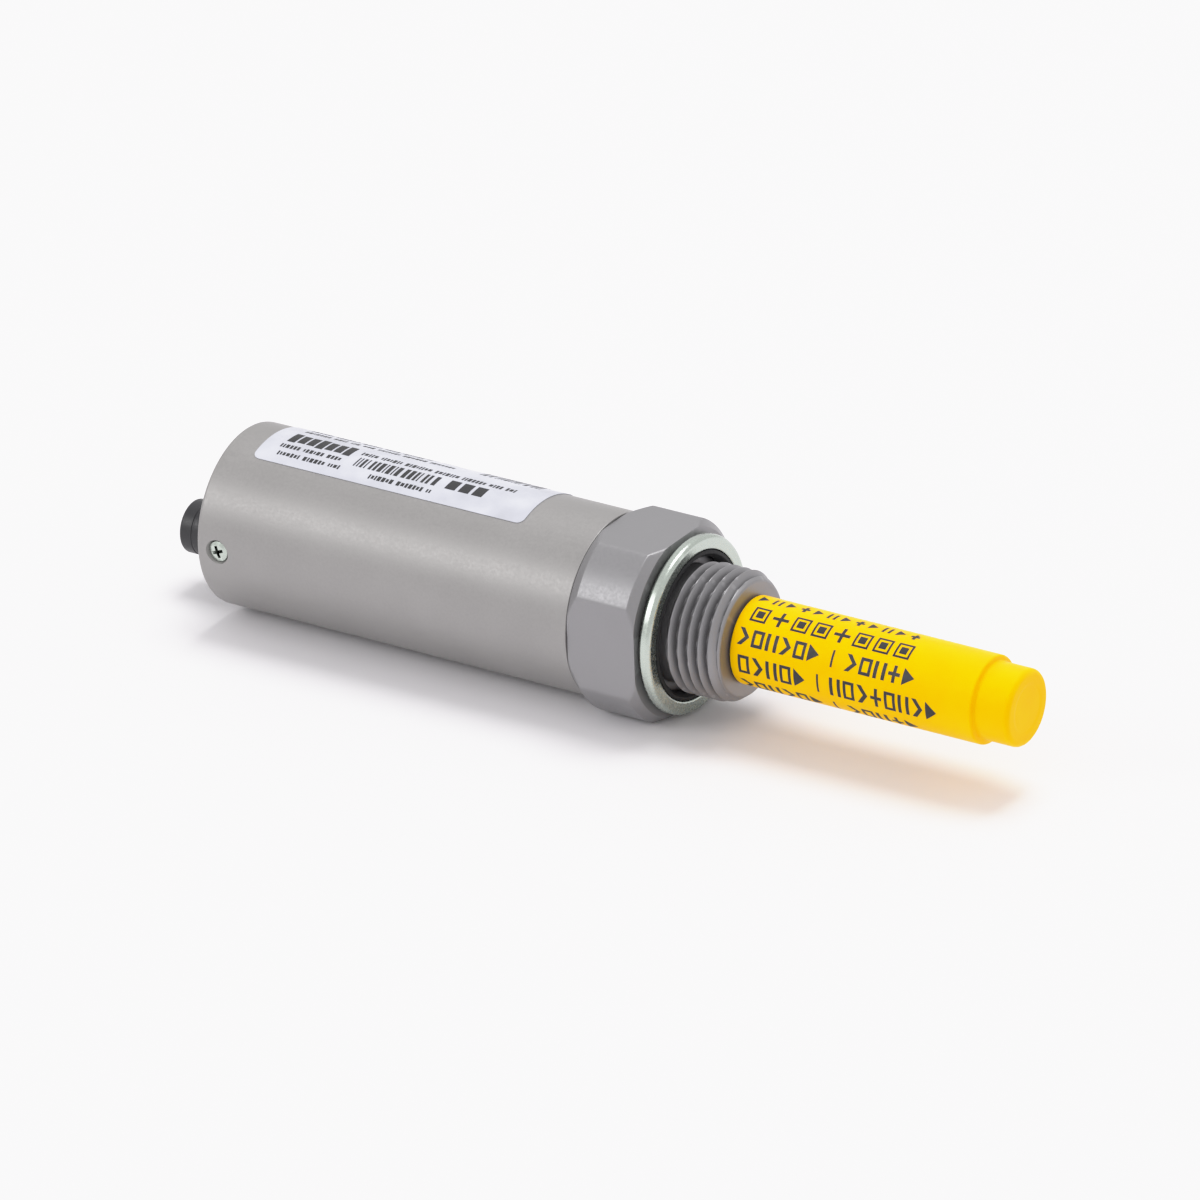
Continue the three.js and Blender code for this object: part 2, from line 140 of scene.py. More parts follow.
def spread(tree, value, low, high, start=0.3, end=0.7):
    """Turns a noise value into a number from low to high."""
    node = tree.nodes.new("ShaderNodeMapRange")
    for name, number in zip(("From Min", "From Max", "To Min", "To Max"), (start, end, low, high)):
        node.inputs[name].default_value = number
    tree.links.new(value, node.inputs["Value"])
    return node.outputs["Result"]


def feed(tree, socket, value):
    """Links another node's output to a socket, or writes a colour or a number there."""
    if isinstance(value, bpy.types.NodeSocket):
        tree.links.new(value, socket)
    elif isinstance(value, tuple):
        socket.default_value = (*value, 1)
    else:
        socket.default_value = value


def blend_colours(tree, factor, first, second):
    """A colour between first and second, each of them a colour or another node's output."""
    node = tree.nodes.new("ShaderNodeMix")
    node.data_type = "RGBA"
    for name, value in (("Factor", factor), ("A", first), ("B", second)):
        feed(tree, node.inputs[name], value)
    return node.outputs["Result"]


def scaled(colour, factor):
    """A colour made brighter or darker."""
    return tuple(min(1, c * factor) for c in colour)


def bump(tree, principled, heights):
    """Stacks bumps on the surface. Each height is an output, its depth in metres and its strength."""
    normal = None
    for height, depth, strength in heights:
        node = tree.nodes.new("ShaderNodeBump")
        node.inputs["Distance"].default_value = depth
        node.inputs["Strength"].default_value = strength
        tree.links.new(height, node.inputs["Height"])
        if normal is not None:
            tree.links.new(normal, node.inputs["Normal"])
        normal = node.outputs["Normal"]
    tree.links.new(normal, principled.inputs["Normal"])


def painted_edge_light_and_hollow_shade(tree, base, edge_highlight_colour, dark, reach=0.0011):
    """Paints a highlight along sharp outer edges with a brighter colour, and paints shade into the piece's
    own hollows with a darker one.
    """
    geometry = tree.nodes.new("ShaderNodeNewGeometry")
    # painted highlight: a brighter colour along sharp outer edges
    edges = spread(tree, geometry.outputs["Pointiness"], 0.0, 0.8, 0.53, 0.62)
    # painted shade: a darker colour where ambient occlusion finds the piece's own hollows
    openness = tree.nodes.new("ShaderNodeAmbientOcclusion")
    openness.samples = 8
    openness.only_local = True
    openness.inputs["Distance"].default_value = reach
    hollow_shade = spread(tree, openness.outputs["AO"], 1.0, 0.0, 0.3, 0.95)
    return blend_colours(tree, hollow_shade, blend_colours(tree, edges, base, edge_highlight_colour), dark)


def metal(name, colour, rough, grain, lines=0.0, blotch=0.05, metallic=1.0):
    """Satin metal: blasted grain, soft patches of tone, fine turning lines round the axis, a painted
    highlight along sharp edges and painted shade in its hollows.
    """
    material, tree, principled = shader(name, colour, rough[0], metallic)
    fine = noise(tree, 2300, 2)
    dark, light = scaled(colour, 1 - blotch), scaled(colour, 1 + blotch)
    patches = blend_colours(tree, spread(tree, noise(tree, 70, 4), 0, 1), dark, light)
    specks = blend_colours(tree, spread(tree, fine, 0, 1), dark, light)
    toned = blend_colours(tree, 0.5, patches, specks)
    # painted highlight on sharp edges and painted shade in hollows, mixed into the base colour
    painted_light_colour = painted_edge_light_and_hollow_shade(tree, toned, scaled(colour, 1.3), scaled(colour, 0.3))
    tree.links.new(painted_light_colour, principled.inputs["Base Color"])
    tree.links.new(spread(tree, fine, *rough), principled.inputs["Roughness"])
    heights = [(fine, grain, 0.35), (noise(tree, 900, 2), grain, 0.12)]
    if lines:
        heights.append((noise(tree, 900, 1, (9, 0.05, 0.05)), lines, 0.3))
    bump(tree, principled, heights)
    return material


def plastic(name, colour, rough, grain, coat=0.0):
    """Moulded plastic or rubber with a fine skin texture and a little variation in tone."""
    material, tree, principled = shader(name, colour, rough)
    shade = blend_colours(tree, spread(tree, noise(tree, 160, 3), 0, 1), scaled(colour, 0.8), colour)
    tree.links.new(shade, principled.inputs["Base Color"])
    skin = noise(tree, 3200, 2)
    tree.links.new(spread(tree, skin, rough - 0.05, rough + 0.08), principled.inputs["Roughness"])
    bump(tree, principled, [(skin, grain, 0.3)])
    principled.inputs["Coat Weight"].default_value = coat
    principled.inputs["Coat Roughness"].default_value = 0.2
    return material


def yellow_plastic():
    """Soft, slightly translucent yellow plastic."""
    material, tree, principled = shader("cap_yellow", (1.0, 0.53, 0.0), 0.45)
    shade = blend_colours(tree, spread(tree, noise(tree, 120, 3), 0, 1), (1.0, 0.51, 0.0), (1.0, 0.55, 0.0))
    tree.links.new(shade, principled.inputs["Base Color"])
    principled.inputs["Specular Tint"].default_value = (1.0, 0.7, 0.05, 1)
    principled.inputs["Specular IOR Level"].default_value = 0.04
    principled.inputs["Subsurface Weight"].default_value = 0.3
    principled.inputs["Subsurface Radius"].default_value = (1.0, 0.55, 0.05)
    principled.inputs["Subsurface Scale"].default_value = 0.0016
    skin = noise(tree, 2400, 2)
    tree.links.new(spread(tree, skin, 0.33, 0.45), principled.inputs["Roughness"])
    bump(tree, principled, [(skin, 0.00001, 0.3), (noise(tree, 220, 2), 0.00008, 0.12)])
    return material


def sintered():
    """Fused metal grains with dark pores between them."""
    material, tree, principled = shader("filter_sintered", (0.36, 0.34, 0.31), 0.55, 0.85)
    coordinates = tree.nodes.new("ShaderNodeTexCoord")
    cells = tree.nodes.new("ShaderNodeTexVoronoi")
    cells.inputs["Scale"].default_value = 3200
    tree.links.new(coordinates.outputs["Object"], cells.inputs["Vector"])
    grains = spread(tree, cells.outputs["Distance"], 0, 1, 0.2, 0.75)
    colour = blend_colours(tree, grains, (0.46, 0.44, 0.4), (0.1, 0.09, 0.08))
    tree.links.new(colour, principled.inputs["Base Color"])
    inverse = spread(tree, cells.outputs["Distance"], 1, 0, 0.1, 0.8)
    bump(tree, principled, [(inverse, 0.00008, 0.7)])
    return material


def board_mask():
    """Green solder mask over copper tracks."""
    material, tree, principled = shader("board_mask", (0.01, 0.12, 0.045), 0.32)
    coordinates = tree.nodes.new("ShaderNodeTexCoord")
    bricks = tree.nodes.new("ShaderNodeTexBrick")
    for name, number in (("Scale", 420), ("Mortar Size", 0.035), ("Brick Width", 0.9), ("Row Height", 0.35)):
        bricks.inputs[name].default_value = number
    tree.links.new(coordinates.outputs["Object"], bricks.inputs["Vector"])
    colour = blend_colours(tree, bricks.outputs["Fac"], (0.008, 0.1, 0.04), (0.03, 0.22, 0.08))
    tree.links.new(colour, principled.inputs["Base Color"])
    bump(tree, principled, [(bricks.outputs["Fac"], 0.00003, 0.5)])
    principled.inputs["Coat Weight"].default_value = 0.3
    return material


MATERIALS = {
    "housing": metal("housing_metal", (0.305, 0.297, 0.292), (0.39, 0.5), 0.000022, 0.00001, 0.07, 0.5),
    "fitting": metal("fitting_steel", (0.272, 0.268, 0.276), (0.36, 0.46), 0.00001, 0.00002, 0.04, 0.65),
    "zinc_plate": metal("zinc_plating", (0.5, 0.55, 0.5), (0.2, 0.32), 0.000006),
    "sintered_metal": sintered(),
    "yellow_plastic": yellow_plastic(),
    "black_plastic": plastic("end_cap_black", (0.022, 0.022, 0.024), 0.5, 0.00005),
    "plug_plastic": plastic("plug_black", (0.02, 0.02, 0.023), 0.38, 0.00001),
    "white_plastic": plastic("holder_white", (0.78, 0.78, 0.74), 0.42, 0.00001),
    "rubber": plastic("seal_rubber", (0.009, 0.009, 0.01), 0.7, 0.00002),
    "label": plastic("label_film", (0.585, 0.595, 0.66), 0.42, 0.000004, 0.2),
    "gold_plate": metal("gold_plating", (0.85, 0.56, 0.2), (0.14, 0.24), 0.000003),
    "board": board_mask(),
    "chip": plastic("chip_black", (0.016, 0.016, 0.017), 0.55, 0.00002),
    "can": metal("can_aluminium", (0.68, 0.68, 0.69), (0.2, 0.3), 0.000004),
    "ceramic": plastic("sensor_ceramic", (0.84, 0.81, 0.74), 0.5, 0.00001),
    "wire_brown": plastic("wire_brown", (0.16, 0.06, 0.02), 0.35, 0.000004),
    "wire_white": plastic("wire_white", (0.8, 0.8, 0.8), 0.35, 0.000004),
    "wire_blue": plastic("wire_blue", (0.02, 0.06, 0.35), 0.35, 0.000004),
    "wire_black": plastic("wire_black", (0.012, 0.012, 0.012), 0.35, 0.000004),
    "cable_jacket": plastic("cable_jacket", (0.05, 0.05, 0.055), 0.5, 0.00001),
    "ink": plastic("print_ink", (0.012, 0.012, 0.014), 0.45, 0.000002),
}


# ---------------------------------------------------------------- mesh tools

@contextmanager
def edited(thing):
    """Opens an object's mesh for editing, and writes it back."""
    edit = bmesh.new()
    edit.from_mesh(thing.data)
    yield edit
    edit.to_mesh(thing.data)
    edit.free()


def new_object(name, data):
    thing = bpy.data.objects.new(name, data)
    bpy.context.scene.collection.objects.link(thing)
    return thing


def mesh_of(name, vertices, faces):
    """A new object from vertices and faces, with its faces turned outwards."""
    mesh = bpy.data.meshes.new(name)
    mesh.from_pydata([tuple(v) for v in vertices], [], [tuple(f) for f in faces])
    mesh.validate()
    thing = new_object(name, mesh)
    with edited(thing) as edit:
        bmesh.ops.recalc_face_normals(edit, faces=edit.faces)
    return thing


def smooth(thing, sharp_degrees=32):
    """Smooth faces with sharp edges where the surface turns by more than sharp_degrees."""
    with edited(thing) as edit:
        for face in edit.faces:
            face.smooth = True
        for edge in edit.edges:
            edge.smooth = edge.is_manifold and edge.calc_face_angle(0) < math.radians(sharp_degrees)


def to_row_frame(thing):
    thing.data.transform(Matrix.Translation((SEAT_X, 0, AXIS_Z)) @ Matrix.Scale(MM, 4))


def place(thing, node, also=()):
    """Moves a finished mesh into the row frame and lets it stand for its CAD node, and for those in also."""
    to_row_frame(thing)
    slot = SLOT_OF[node]
    thing.data.materials.clear()
    thing.data.materials.append(MATERIALS[slot])
    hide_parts(node, *also)
    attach(thing, BODY_OF[node])


def corner_points(before, corner, after, radius, steps=4, support=0.08):
    """The points of a rounded corner, with a support point on each side that keeps flat faces flat."""
    to_before, to_after = Vector(before) - Vector(corner), Vector(after) - Vector(corner)
    a, b = to_before.normalized(), to_after.normalized()
    half = math.acos(max(-1, min(1, a.dot(b)))) / 2
    room = min(to_before.length, to_after.length) * 0.45
    if radius <= 0 or half > math.radians(88):
        reach = min(support, room)
        return [Vector(corner) + a * reach, Vector(corner), Vector(corner) + b * reach]
    tangent = min(radius / math.tan(half), room)
    radius = tangent * math.tan(half)
    centre = Vector(corner) + (a + b).normalized() * (radius / math.sin(half))
    start = Vector(corner) + a * tangent - centre
    end = Vector(corner) + b * tangent - centre
    turn = math.atan2(start.cross(end), start.dot(end))
    arc = [centre + Matrix.Rotation(turn * i / steps, 2) @ start for i in range(steps + 1)]
    reach = min(support, room * 0.1)
    return [arc[0] + a * reach, *arc, arc[-1] + b * reach]


def rounded(profile):
    """Rounds an (x, radius, rounding) outline. One that starts and ends on the axis stays open there."""
    points = [tuple(p) if len(p) == 3 else (*p, 0) for p in profile]
    open_ended = points[0][1] == 0
    made = []
    for i, (x, radius, size) in enumerate(points):
        if open_ended and i in (0, len(points) - 1):
            made.append(Vector((x, radius)))
            continue
        before, after = points[i - 1], points[(i + 1) % len(points)]
        made += corner_points(before[:2], (x, radius), after[:2], size)
    return made


def turned(name, profile, steps=128, drop=0.0):
    """A solid of revolution about the axis, or about a line that lies drop below it."""
    outline = rounded(profile)
    closed = profile[0][1] != 0
    vertices, rings = [], []
    for x, radius in outline:
        if radius < 1e-6:
            rings.append([len(vertices)] * steps)
            vertices.append((x, 0, -drop))
            continue
        rings.append(list(range(len(vertices), len(vertices) + steps)))
        for k in range(steps):
            angle = 2 * math.pi * k / steps
            vertices.append((x, radius * math.cos(angle), radius * math.sin(angle) - drop))
    faces = []
    for i in range(len(rings) if closed else len(rings) - 1):
        here, there = rings[i], rings[(i + 1) % len(rings)]
        for k in range(steps):
            m = (k + 1) % steps
            corners = [here[k], there[k], there[m], here[m]]
            faces.append(list(dict.fromkeys(corners)))
    return mesh_of(name, vertices, faces)


def carved(thing, cutters, sliver=0.004):
    """Cuts the cutters out of a mesh, deletes them, and clears what is thinner than a sliver."""
    for cutter in cutters:
        modifier = thing.modifiers.new("carve", "BOOLEAN")
        modifier.operation, modifier.solver, modifier.object = "DIFFERENCE", "EXACT", cutter
        bpy.context.view_layer.update()
        depsgraph = bpy.context.evaluated_depsgraph_get()
        thing.data = bpy.data.meshes.new_from_object(thing.evaluated_get(depsgraph))
        thing.modifiers.clear()
        bpy.data.objects.remove(cutter)
    with edited(thing) as edit:
        bmesh.ops.remove_doubles(edit, verts=edit.verts, dist=sliver)
        bmesh.ops.dissolve_degenerate(edit, edges=edit.edges, dist=sliver)
        bmesh.ops.holes_fill(edit, edges=[edge for edge in edit.edges if edge.is_boundary], sides=4)
    return thing


def point_sideways(thing, x):
    """Stands a turned piece across the axis at x, with its own +X end facing -Y."""
    turn = Matrix.Rotation(-math.pi / 2, 4, "Z")
    thing.data.transform(Matrix.Translation((x, 0, 0)) @ turn)
    return thing


def plates(name, outlines, radius, thickness, centre_degrees, slice_width=0.5):
    """Thin closed plates that wrap a cylinder, from outlines of (x, distance round the cylinder)."""
    edit = bmesh.new()
    for outline in outlines:
        edit.faces.new([edit.verts.new((x, across, 0)) for x, across in outline])
    bmesh.ops.triangulate(edit, faces=edit.faces)
    reach = max(abs(across) for outline in outlines for _, across in outline)
    for k in range(-int(reach / slice_width) - 1, int(reach / slice_width) + 2):
        everything = [*edit.verts, *edit.edges, *edit.faces]
        bmesh.ops.bisect_plane(edit, geom=everything, plane_co=(0, k * slice_width, 0), plane_no=(0, 1, 0))
    made = bmesh.ops.extrude_face_region(edit, geom=list(edit.faces), use_keep_orig=True)
    for vertex in (v for v in made["geom"] if isinstance(v, bmesh.types.BMVert)):
        vertex.co.z = thickness
    for vertex in edit.verts:
        angle = math.radians(centre_degrees) + vertex.co.y / radius
        out = radius + vertex.co.z
        vertex.co = (vertex.co.x, -out * math.cos(angle), out * math.sin(angle))
    bmesh.ops.recalc_face_normals(edit, faces=edit.faces)
    mesh = bpy.data.meshes.new(name)
    edit.to_mesh(mesh)
    edit.free()
    return new_object(name, mesh)


def add_print(thing, body, material="ink"):
    """A thin printed or plated mark that rides on a body and stands for no CAD node."""
    to_row_frame(thing)
    thing.data.materials.append(MATERIALS[material])
    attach(thing, body)


def rectangle(x, width, across, height):
    """A rectangle's outline from its left end, its width, its middle round the cylinder, and its height."""
    low, high = across - height / 2, across + height / 2
    return [(x, low), (x + width, low), (x + width, high), (x, high)]


def rounded_rectangle(x, width, low, high, radius, steps=6):
    """A rectangle's outline with round corners."""
    corners = [(x + width - radius, low + radius, -90), (x + width - radius, high - radius, 0),
               (x + radius, high - radius, 90), (x + radius, low + radius, 180)]
    points = []
    for cx, cy, start in corners:
        for k in range(steps + 1):
            angle = math.radians(start + 90 * k / steps)
            points.append((cx + radius * math.cos(angle), cy + radius * math.sin(angle)))
    return points


# ---------------------------------------------------------------- housing

def housing_sleeve():
    """The round tube, with a countersunk seat for the screw. A ring past the screw keeps the faces short."""
    past_screw = SCREW_X + 2.4
    tube = turned(
        "housing_sleeve_look",
        [(SLEEVE_REAR, 13.5, 0.1), (SLEEVE_REAR, SLEEVE_R, 0.85), (past_screw, SLEEVE_R),
         (SLEEVE_FRONT, SLEEVE_R, 0.12), (SLEEVE_FRONT, SLEEVE_BORE, 0.1), (past_screw, SLEEVE_BORE),
         (SLEEVE_REAR + 0.3, SLEEVE_BORE, 0.05)],
        252,
    )
    hole_r, flare = 1.4, SCREW_HEAD_R + 0.3
    seat = turned("seat", [(8, 0), (8, hole_r), (SLEEVE_R - 1.35, hole_r), (SLEEVE_R - 0.15, flare),
                           (SLEEVE_R + 0.4, flare + 0.25), (SLEEVE_R + 0.4, 0)], 64)
    carved(tube, [point_sideways(seat, SCREW_X)])
    smooth(tube)
    radial_normals(tube, SLEEVE_R)
    place(tube, "housing_sleeve")


def radial_normals(thing, radius, tolerance=0.003):
    """Gives the corners on a cylinder of that radius the cylinder's own normals, so a cut leaves no mark."""
    mesh = thing.data
    normals = [Vector(n.vector) for n in mesh.corner_normals]
    for face in mesh.polygons:
        points = [mesh.vertices[v].co for v in face.vertices]
        if all(abs(math.hypot(p.y, p.z) - radius) < tolerance for p in points):
            for loop, p in zip(face.loop_indices, points):
                normals[loop] = Vector((0, p.y, p.z)).normalized()
    mesh.normals_split_custom_set(normals)


def end_cap_screw():
    tip = 8.9
    screw = turned(
        "end_cap_screw_look",
        [(tip, 0), (tip, SCREW_SHANK_R, 0.15), (SCREW_TOP - 1.2, SCREW_SHANK_R, 0.05),
         (SCREW_TOP - 0.42, SCREW_HEAD_R, 0.08), (SCREW_TOP - 0.3, SCREW_HEAD_R, 0.08),
         (SCREW_TOP - 0.08, 1.15, 0.3), (SCREW_TOP, 0.4, 0.3), (SCREW_TOP, 0)],
        64,
    )
    carved(point_sideways(screw, SCREW_X), [cross_recess()])
    smooth(screw, 25)
    place(screw, "end_cap_screw")


def cross_recess(arm=1.1, slot=0.28, depth=1.1, taper=0.4, turn_degrees=20):
    """A tapered cross that cuts the driver recess into the screw's head."""
    turn = Matrix.Rotation(math.radians(turn_degrees), 2)
    cross = [turn @ Vector(corner) for corner in cross_corners(arm, arm, slot)]
    vertices = []
    for y, scale in ((SCREW_TOP + 0.3, 1.12), (SCREW_TOP - depth, taper)):
        vertices += [(SCREW_X + a * scale, -y, b * scale) for a, b in cross]
    count = len(cross)
    faces = [list(range(count)), list(range(count, 2 * count))]
    faces += [[k, (k + 1) % count, (k + 1) % count + count, k + count] for k in range(count)]
    return mesh_of("cross", vertices, faces)


def housing_label():
    corner_r = 1.2
    under = SLEEVE_R + LABEL_LIFT
    outline = rounded_rectangle(LABEL_FROM, LABEL_TO - LABEL_FROM, -LABEL_HALF, LABEL_HALF, corner_r)
    sheet = plates("housing_label_look", [outline], under, LABEL_THICKNESS, LABEL_ANGLE)
    smooth(sheet, 50)
    place(sheet, "housing_label")
    ink = plates("label_print", label_marks(), under + LABEL_THICKNESS, INK_THICKNESS, LABEL_ANGLE)
    add_print(ink, BODY_OF["housing_label"])


def label_marks():
    """Plain blocks, ticks and bars where a label has its mark, its lines of text and its codes."""
    draw = random.Random(7)
    marks = [rectangle(-72.8 + 1.72 * k, 1.4, -1.1, 2.7 if k % 3 else 3.2) for k in range(7)]
    lines = ((-0.9, -59.6, -30.5, 1.1), (-4.0, -73, -61.4, 0.95), (-5.9, -72.4, -60, 0.95),
             (-6.2, -55, -43.4, 1.0), (6.3, -72.6, -46, 0.95), (4.4, -72.6, -50, 0.95),
             (2.5, -72.6, -44, 0.95))
    for across, start, end, height in lines:
        marks += ticks(draw, start, end, across, height)
    marks += code_bars(draw, -59, -43.6, -3.5, 2.5)
    marks += [rectangle(-41.8 + 2.5 * k, 1.9, -3.5, 2.5) for k in range(3)]
    marks += code_bars(draw, -40, -29, 4.4, 3.6)
    return marks


def ticks(draw, start, end, across, height):
    """A line of short upright ticks in groups of uneven length."""
    made, x = [], start
    while x < end - 0.6:
        for _ in range(draw.randint(3, 8)):
            width = draw.choice((0.3, 0.45, 0.6))
            if x + width < end:
                made.append(rectangle(x, width, across, height * draw.choice((0.75, 1, 1))))
            x += width + 0.2
        x += 0.55
    return made


def code_bars(draw, start, end, across, height):
    """Upright bars of uneven width."""
    made, x = [], start
    while x < end:
        width = draw.choice((0.25, 0.25, 0.5, 0.75))
        made.append(rectangle(x, width, across, height))
        x += width + draw.choice((0.3, 0.3, 0.6))
    return made


def rear_end_cap():
    """The plug's carrier, with a ring groove in its face, an O-ring groove and three notches in its rim."""
    face, groove_floor = END_CAP_REAR, END_CAP_REAR + 0.2
    seal_from, seal_to = -75.9, -73.8
    cap = turned(
        "rear_end_cap_look",
        [(face, 0), (face, 11.2, 0.05), (groove_floor, 11.4, 0.05), (groove_floor, 11.9, 0.05),
         (face, 12.1, 0.05), (face, SPIGOT_R, 0.35), (seal_from, SPIGOT_R, 0.1), (seal_from, GROOVE_R, 0.1),
         (seal_to, GROOVE_R, 0.1), (seal_to, SPIGOT_R, 0.1), (END_CAP_FRONT, SPIGOT_R, 0.2),
         (END_CAP_FRONT, 0)],
        192,
    )
    hole = turned("hole", [(-83, 0), (-83, PLUG_HOLE_R), (-70, PLUG_HOLE_R), (-70, 0)], 96, PLUG_DROP)
    screw_hole = point_sideways(turned("hole", [(8.3, 0), (8.3, 1.3), (14, 1.3), (14, 0)], 48), SCREW_X)
    notches = [pry_notch(degrees) for degrees in (0, 90, 180)]
    smooth(carved(cap, [hole, screw_hole, *notches]))
    place(cap, "rear_end_cap")


def pry_notch(degrees, half_width=1.6, inner=11.5, outer=13.4, depth=0.6):
    """A wedge that cuts a shallow screwdriver notch into the end cap's rim."""
    clear = END_CAP_REAR - 0.3
    section = [(clear, outer), (END_CAP_REAR + depth, outer), (END_CAP_REAR, inner), (clear, inner)]
    vertices = [(x, side * half_width, r) for side in (-1, 1) for x, r in section]
    faces = [(0, 1, 2, 3), (4, 5, 6, 7)] + [(k, (k + 1) % 4, (k + 1) % 4 + 4, k + 4) for k in range(4)]
    wedge = mesh_of("notch", vertices, faces)
    wedge.data.transform(Matrix.Rotation(math.radians(90 - degrees), 4, "X"))
    return wedge


def o_ring(node, ring_r=12.52, cord_r=0.52):
    low, high = span(node)
    middle = (low.x + high.x) / 2
    circle = [(middle + cord_r * math.cos(a), ring_r + cord_r * math.sin(a))
              for a in np.linspace(0, math.tau, 12, endpoint=False)]
    ring = turned(node + "_look", circle, 128)
    smooth(ring, 60)
    place(ring, node)


# ---------------------------------------------------------------- plug connector

def plug_shell():
    """The barrel, with a hexagon flange and a key rib along the top of its socket."""
    barrel, seam = PLUG_BARREL_R, PLUG_BARREL_R - 0.09
    flange_from, flange_to, end = -82.4, -81.3, -69.6
    key_from, key_to = -91.4, SOCKET_FLOOR - 0.1
    outline = rounded([
        (PLUG_RIM, PLUG_SOCKET_R, 0.3), (PLUG_RIM, barrel, 0.7), (-90.2, barrel, 0.05), (-90.1, seam, 0.03),
        (-89.9, seam, 0.03), (-89.8, barrel, 0.05), (flange_from, barrel, 0.2),
        (flange_from, PLUG_FLANGE_R, 0.2), (flange_to, PLUG_FLANGE_R, 0.1), (flange_to, PLUG_SHANK_R, 0.1),
        (end, PLUG_SHANK_R, 0.2),
        (end, PLUG_SOCKET_R, 0.1), (key_to, PLUG_SOCKET_R, 0.03), (key_from, PLUG_SOCKET_R, 0.03)])
    flange_half_flats, key_half_width, key_height = 4.85, math.radians(8), 0.45
    sixth = math.tau / 6

    def radius_at(x, base, angle):
        off = np.abs(np.mod(angle + sixth / 2, sixth) - sixth / 2)
        flange = np.where(base > barrel + 0.05, soft_min(base, flange_half_flats / np.cos(off), 0.1), base)
        on_key = (x > key_from - 0.05) & (x < key_to + 0.05) & (base < PLUG_SOCKET_R + 0.04)
        key = np.clip((key_half_width - np.abs(angle - math.pi / 2)) / math.radians(2), 0, 1)
        return np.where(on_key, base - key_height * key, flange)

    shell = wrapped("plug_shell_look", outline, np.radians(np.arange(0, 360, 2)), radius_at)
    shell.data.transform(Matrix.Translation((0, 0, -PLUG_DROP)))
    smooth(shell)
    place(shell, "plug_shell")


def pin_places():
    for degrees in PIN_ANGLES:
        angle = math.radians(degrees)
        yield PIN_CIRCLE * math.cos(angle), PIN_CIRCLE * math.sin(angle) - PLUG_DROP


def plug_insert():
    step, end, radius = SOCKET_FLOOR + 0.3, -70.1, 3.2
    insert = turned(
        "plug_insert_look",
        [(SOCKET_FLOOR, 0), (SOCKET_FLOOR, 2.7, 0.05), (step, 2.8, 0.05), (step, radius, 0.05),
         (end, radius, 0.1), (end, 0)],
        96, PLUG_DROP,
    )
    holes = [turned("hole", [(-90, 0), (-90, 0.6), (-60, 0.6), (-60, 0)], 32) for _ in PIN_ANGLES]
    for hole, (y, z) in zip(holes, pin_places()):
        hole.data.transform(Matrix.Translation((0, y, z)))
    smooth(carved(insert, holes))
    place(insert, "plug_insert")


def contact_pins():
    tip, tail = -91.2, -67.6
    profile = [(tip, 0), (tip, 0.28, 0.1), (tip + 0.5, PIN_R, 0.3), (tail, PIN_R, 0.1), (tail, 0)]
    for number, (y, z) in enumerate(pin_places(), 1):
        node = f"contact_pin_{number}"
        pin = turned(node + "_look", profile, 32)
        pin.data.transform(Matrix.Translation((0, y, z)))
        smooth(pin, 40)
        place(pin, node)


# ---------------------------------------------------------------- threaded fitting and washer

def soft_min(a, b, k):
    """The smaller of a and b, with a round of size k where they cross."""
    h = np.clip(k - np.abs(a - b), 0, None) / k
    return np.minimum(a, b) - h * h * k / 4


def ridge_radius(x, angle, crest, root, pitch, first):
    """The radius of a right-handed thread with rounded crests and roots."""
    sharpness = 0.985
    phase = math.tau * (x + pitch * angle / math.tau - first) / pitch
    shape = np.arcsin(sharpness * np.cos(phase)) / math.asin(sharpness)
    return (crest + root) / 2 + (crest - root) / 2 * shape


def divided(points, step):
    """Adds points along each stretch so that none is longer than step."""
    made = []
    for a, b in zip(points, points[1:]):
        count = max(1, math.ceil((b - a).length / step))
        made += [a.lerp(b, k / count) for k in range(count)]
    return [*made, points[-1]]


def wrapped(name, outline, angles, radius_at):
    """A closed surface round the axis whose radius also depends on the angle."""
    x, base = np.array([p[0] for p in outline]), np.array([p[1] for p in outline])
    r = radius_at(x[:, None], base[:, None], angles[None, :])
    x = np.broadcast_to(x[:, None], r.shape)
    vertices = np.stack([x, -r * np.cos(angles), r * np.sin(angles)], -1).reshape(-1, 3)
    rows, columns = r.shape
    index = np.arange(rows * columns).reshape(rows, columns)
    below, beside = np.roll(index, -1, 0), np.roll(index, -1, 1)
    faces = np.stack([index, below, np.roll(below, -1, 1), beside], -1).reshape(-1, 4)
    return mesh_of(name, vertices.tolist(), faces.tolist())


def fitting_outline():
    """The fitting's half section, with extra points along its thread and the collar's cones."""
    rear, groove_from, groove_to, shoulder, collar_face_r = -21, -18.6, -16.4, -8, 15.1
    section = rounded([
        (rear, WIRE_BORE, 0.1), (rear, SPIGOT_R, 0.3), (groove_from, SPIGOT_R, 0.1),
        (groove_from, GROOVE_R, 0.1), (groove_to, GROOVE_R, 0.1), (groove_to, SPIGOT_R, 0.1),
        (COLLAR_REAR, SPIGOT_R, 0.05), (COLLAR_REAR, 14.8, 0.12), (-10.3, LAND_R, 0.35),
        (-1.2, LAND_R, 0.3), (0, collar_face_r, 0.12),
        (0, UNDERCUT_R, 0.25), (THREAD_START, UNDERCUT_R, 0), (THREAD_END, 9.2, 0.2),
        (THREAD_END, FITTING_BORE, 0.2), (shoulder, FITTING_BORE, 0.05), (shoulder, WIRE_BORE, 0.05)])
    outline = []
    for a, b in zip(section, section[1:] + section[:1]):
        low_x, high_x, low_r = min(a[0], b[0]), max(a[0], b[0]), min(a[1], b[1])
        on_thread = low_r > 8 and low_x > THREAD_START - 0.2
        on_cone = low_r > 14 and low_x > COLLAR_REAR - 0.05 and high_x < 0.01 and abs(a[1] - b[1]) > 0.1
        outline += divided([a, b], 0.085 if on_thread else 0.12 if on_cone else 100)[:-1]
    return outline


